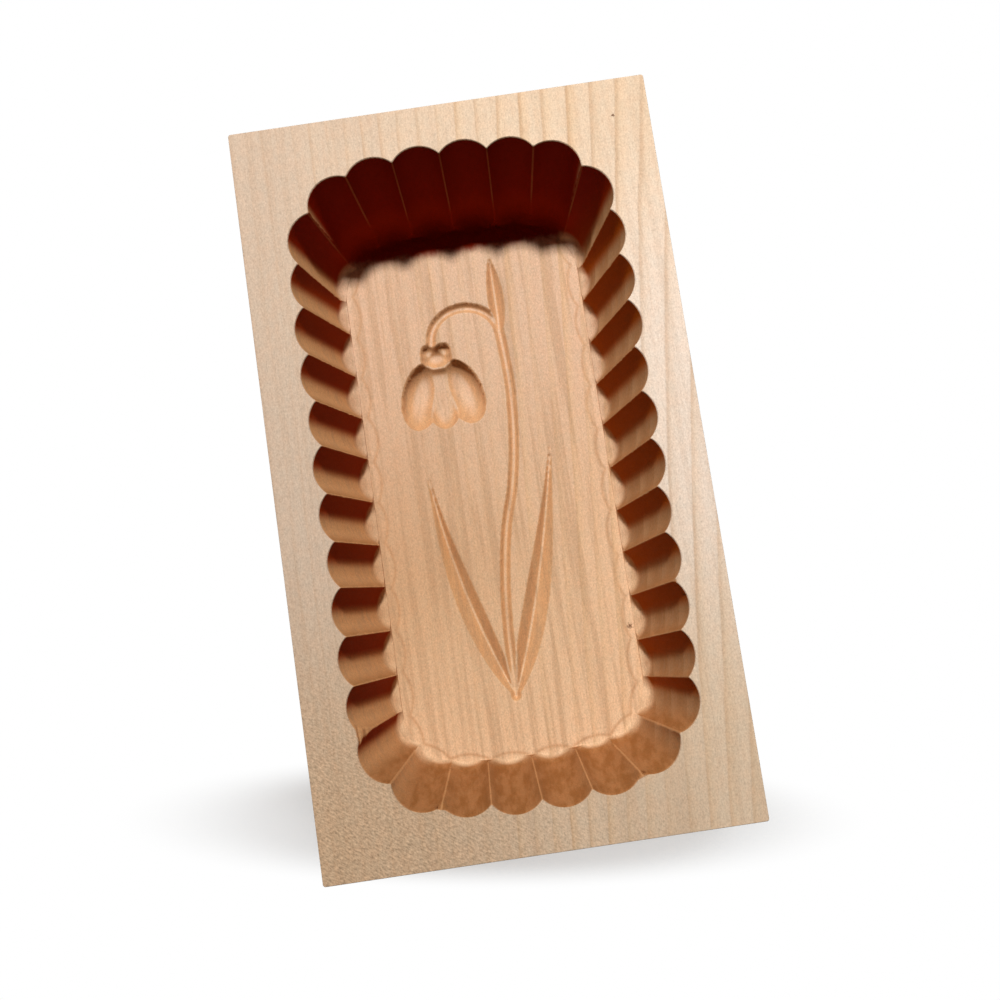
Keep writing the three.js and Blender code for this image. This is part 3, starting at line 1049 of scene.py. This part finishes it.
PICTURE = 1000
SENSOR = 36
FOCAL_PIXELS = 1143.1
OPTICAL_CENTRE = (500, 525)
EYE = (-0.18, -39.20, 280.83)
EYE_TURN = (0.05490068, 0.00267589, -0.07348605, 0.99578037)

# The lamps: place in mm, size in metres, watts and colour
WINDOW = ((12, 293, 522), 0.045, 3.8, (1, 0.985, 0.96))
SKY = ((0, -30, 700), 1.4, 11.8, (1, 1, 1))
WORLD_STRENGTH = 0.03

WHITE = (1, 1, 1, 1)
GREY = (0.8, 0.8, 0.8, 1)

# The ground, and the patch of it that keeps its shadow: middle, reach, turn, and the shares of
# the reach between which the lift to white grows from its least to full
GROUND_HALF = 3.0
SHADE_MIDDLE = (-12.5, -78.6)
SHADE_REACH = (88, 15.5)
SHADE_TURN = math.radians(8.4)
SHADE_EDGE = (0.6, 1.05)
LEAST_LIFT = 0.06


def add_camera():
    """The camera as fitted to the photo's corners and flutes, for a square picture."""
    data = bpy.data.cameras.new("camera")
    data.sensor_width = SENSOR
    data.lens = FOCAL_PIXELS * SENSOR / PICTURE
    data.shift_x = (PICTURE / 2 - OPTICAL_CENTRE[0]) / PICTURE
    data.shift_y = (OPTICAL_CENTRE[1] - PICTURE / 2) / PICTURE
    data.clip_start = 0.01
    camera = bpy.data.objects.new("camera", data)
    camera.rotation_mode = "QUATERNION"
    x, y, z, w = EYE_TURN
    camera.rotation_quaternion = (w, x, y, z)
    camera.location = Vector(EYE) * MM
    bpy.context.scene.collection.objects.link(camera)
    bpy.context.scene.camera = camera


def add_lamp(name, place, size, watts, colour, lit):
    """A square lamp that looks at the block's middle and lights only the pieces given."""
    data = bpy.data.lights.new(name, "AREA")
    data.shape = "SQUARE"
    data.size = size
    data.energy = watts
    data.color = colour
    lamp = bpy.data.objects.new(name, data)
    lamp.location = Vector(place) * MM
    lamp.rotation_mode = "QUATERNION"
    lamp.rotation_quaternion = lamp.location.to_track_quat("Z", "Y")
    lamp.visible_camera = False
    lamp.light_linking.receiver_collection = bpy.data.collections.new(name + " lights")
    for piece in lit:
        lamp.light_linking.receiver_collection.objects.link(piece)
    bpy.context.scene.collection.objects.link(lamp)


def add_floor():
    """A wide pale floor. What the camera sees of it is lifted to white, and keeps the shadow
    in a long round patch about the near end of the block."""
    t = Tree("floor")
    x, y, _ = t.parts(t.place())
    x, y = x - SHADE_MIDDLE[0], y - SHADE_MIDDLE[1]
    across = (x * math.cos(SHADE_TURN) - y * math.sin(SHADE_TURN)) / SHADE_REACH[0]
    along = (x * math.sin(SHADE_TURN) + y * math.cos(SHADE_TURN)) / SHADE_REACH[1]
    away = (across * across + along * along) ** 0.5
    diffuse = t.node("ShaderNodeBsdfDiffuse", None, {"Color": GREY})
    white = t.node("ShaderNodeEmission", None, {"Color": WHITE, "Strength": 1.0})
    seen = t.node("ShaderNodeLightPath", output=0)
    lifted = seen * (LEAST_LIFT + (1 - LEAST_LIFT) * t.ramp(away, *SHADE_EDGE))
    both = t.node("ShaderNodeMixShader", None, {0: lifted, 1: diffuse, 2: white})
    t.node("ShaderNodeOutputMaterial", None, {"Surface": both})
    mesh = bpy.data.meshes.new("floor")
    half = GROUND_HALF
    corners = [(-half, -half, 0), (half, -half, 0), (half, half, 0), (-half, half, 0)]
    mesh.from_pydata(corners, [], [(0, 1, 2, 3)])
    mesh.materials.append(t.material)
    floor = bpy.data.objects.new("floor", mesh)
    bpy.context.scene.collection.objects.link(floor)
    return floor


def set_world():
    """Soft even light, seen by the camera as white."""
    world = bpy.data.worlds.new("studio")
    world.use_nodes = True
    bpy.context.scene.world = world
    nodes, links = world.node_tree.nodes, world.node_tree.links
    nodes.clear()
    rays = nodes.new("ShaderNodeLightPath")
    light, seen = nodes.new("ShaderNodeBackground"), nodes.new("ShaderNodeBackground")
    for background, strength in ((light, WORLD_STRENGTH), (seen, 1)):
        background.inputs["Color"].default_value = WHITE
        background.inputs["Strength"].default_value = strength
    mix = nodes.new("ShaderNodeMixShader")
    out = nodes.new("ShaderNodeOutputWorld")
    links.new(rays.outputs["Is Camera Ray"], mix.inputs[0])
    links.new(light.outputs[0], mix.inputs[1])
    links.new(seen.outputs[0], mix.inputs[2])
    links.new(mix.outputs[0], out.inputs["Surface"])


block = make_mesh("mould_block_surface", mould_surface())
block.data.materials.append(maple())
floor = add_floor()
add_camera()
add_lamp("window", *WINDOW, [block])
add_lamp("sky", *SKY, [floor])
set_world()
bpy.context.scene.view_settings.view_transform = "Standard"

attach(block, "root")
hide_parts("mould_block")
